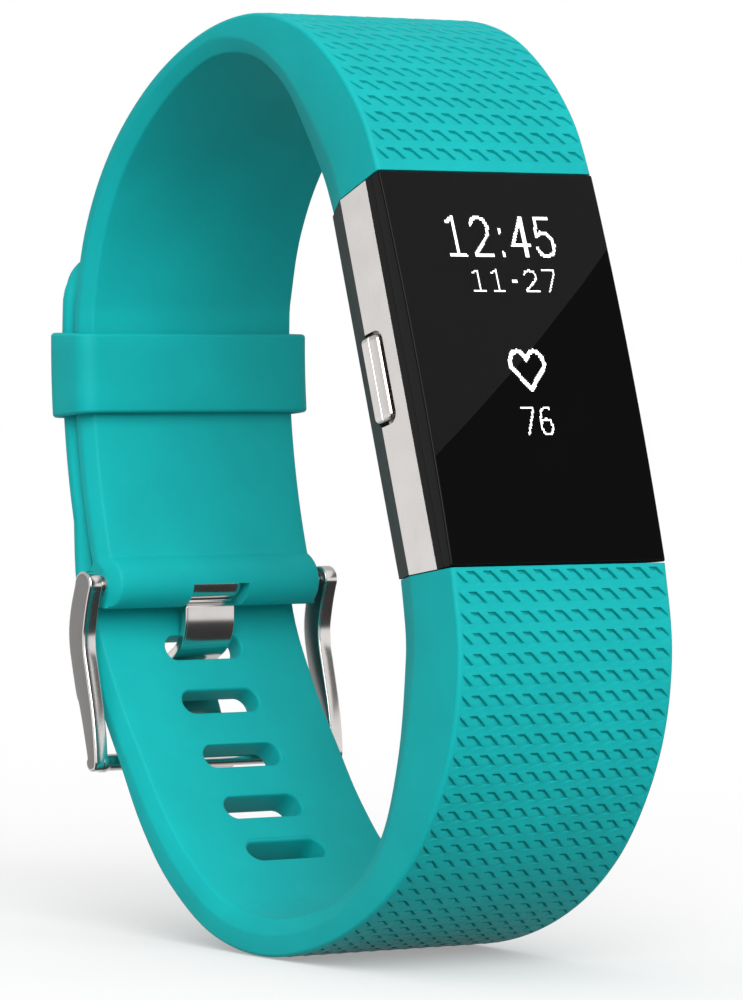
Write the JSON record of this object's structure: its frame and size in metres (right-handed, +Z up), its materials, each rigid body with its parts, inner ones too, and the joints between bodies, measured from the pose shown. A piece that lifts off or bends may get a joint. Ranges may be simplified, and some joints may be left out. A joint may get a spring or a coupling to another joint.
{
  "type": "fitness tracker band",
  "caption": "Wrist-worn activity tracker: display module with a side button in an embossed silicone strap with slots, keeper loop and steel pin buckle.",
  "frame": {"origin": "centre of the opening that the wrist goes through, half way across the strap", "axes": "+X across the strap, away from the side button; -Y is the side that the display faces, leaning back; +Z up, towards the strap's top"},
  "size_m": [0.0254, 0.0547, 0.0748],
  "materials": {
    "display_glass": "black cover glass, polished",
    "bezel": "black gloss",
    "display_panel": "dark display",
    "steel_frame": "brushed stainless steel",
    "button": "brushed stainless steel",
    "rear_housing": "dark grey moulded, fine texture",
    "seal": "soft black",
    "screws": "dark steel",
    "board": "green solder resist",
    "shield": "satin",
    "battery": "laminated pouch",
    "motor": "satin",
    "flex": "amber film",
    "led": "clear green",
    "photodiode": "dark",
    "sensor_window": "dark tinted",
    "contacts": "gold plated",
    "band": "matte silicone, embossed outside",
    "connector": "moulded",
    "clip": "satin",
    "spring": "spring wire",
    "buckle": "brushed and polished stainless steel",
    "spring_bar": "satin"
  },
  "bodies": {
    "band": {"upper_band": "band", "upper_connector": "connector", "upper_clip_spring": "spring", "lower_band": "band", "lower_connector": "connector", "lower_clip_spring": "spring", "spring_bar_tube": "spring_bar", "spring_bar_spring": "spring"},
    "tracker": {"display_glass": "display_glass", "front_bezel": "bezel", "display_panel": "display_panel", "display_flex": "flex", "steel_frame": "steel_frame", "rear_housing": "rear_housing", "rear_gasket": "seal", "rear_screws": "screws", "circuit_board": "board", "shield_can": "shield", "battery": "battery", "vibration_motor": "motor", "sensor_board": "board", "sensor_leds": "led", "photodiode": "photodiode", "sensor_window": "sensor_window", "charging_contacts": "contacts", "tactile_switch": "bezel", "button_seal": "seal"},
    "side_button": {"side_button": "button"},
    "upper_clip": {"upper_clip": "clip"},
    "lower_clip": {"lower_clip": "clip"},
    "buckle_frame": {"buckle_frame": "buckle"},
    "buckle_tongue": {"buckle_tongue": "buckle"},
    "pin_left": {"spring_bar_pin_left": "spring_bar"},
    "pin_right": {"spring_bar_pin_right": "spring_bar"},
    "keeper": {"keeper_loop": "band"}
  },
  "joints": [
    {"name": "tracker_release", "type": "slide", "parent": "band", "child": "tracker", "axis": [0, -0.9483, 0.3173], "range_m": [0, 0.014]},
    {"name": "button_press", "type": "slide", "parent": "tracker", "child": "side_button", "axis": [1, 0, 0], "range_m": [0, 0.0003], "stiffness_N_per_m": 800, "springref_m": -0.0002},
    {"name": "upper_clip_slide", "type": "slide", "parent": "band", "child": "upper_clip", "axis": [0, 0.3173, 0.9483], "range_m": [0, 0.0008], "stiffness_N_per_m": 400, "springref_m": -0.0005, "deforming": ["upper_clip_spring"]},
    {"name": "lower_clip_slide", "type": "slide", "parent": "band", "child": "lower_clip", "axis": [0, -0.3173, -0.9483], "range_m": [0, 0.0008], "stiffness_N_per_m": 400, "springref_m": -0.0005, "deforming": ["lower_clip_spring"]},
    {"name": "buckle_tilt", "type": "hinge", "parent": "band", "child": "buckle_frame", "pos_m": [0, 0.0181, -0.0089], "axis": [1, 0, 0], "range_deg": [0, 2]},
    {"name": "tongue_tilt", "type": "hinge", "parent": "buckle_frame", "child": "buckle_tongue", "pos_m": [0, 0.0181, -0.0089], "axis": [1, 0, 0], "range_deg": [0, 1.5]},
    {"name": "pin_left_slide", "type": "slide", "parent": "band", "child": "pin_left", "axis": [1, 0, 0], "range_m": [0, 0.0011], "stiffness_N_per_m": 500, "springref_m": -0.0008, "deforming": ["spring_bar_spring"]},
    {"name": "pin_right_slide", "type": "slide", "parent": "band", "child": "pin_right", "axis": [-1, 0, 0], "range_m": [0, 0.0011], "stiffness_N_per_m": 500, "springref_m": -0.0008, "deforming": ["spring_bar_spring"]},
    {"name": "keeper_slide", "type": "hinge", "parent": "band", "child": "keeper", "pos_m": [0, -0.03915, 0.0123], "axis": [1, 0, 0], "range_deg": [-6, 2]}
  ]
}
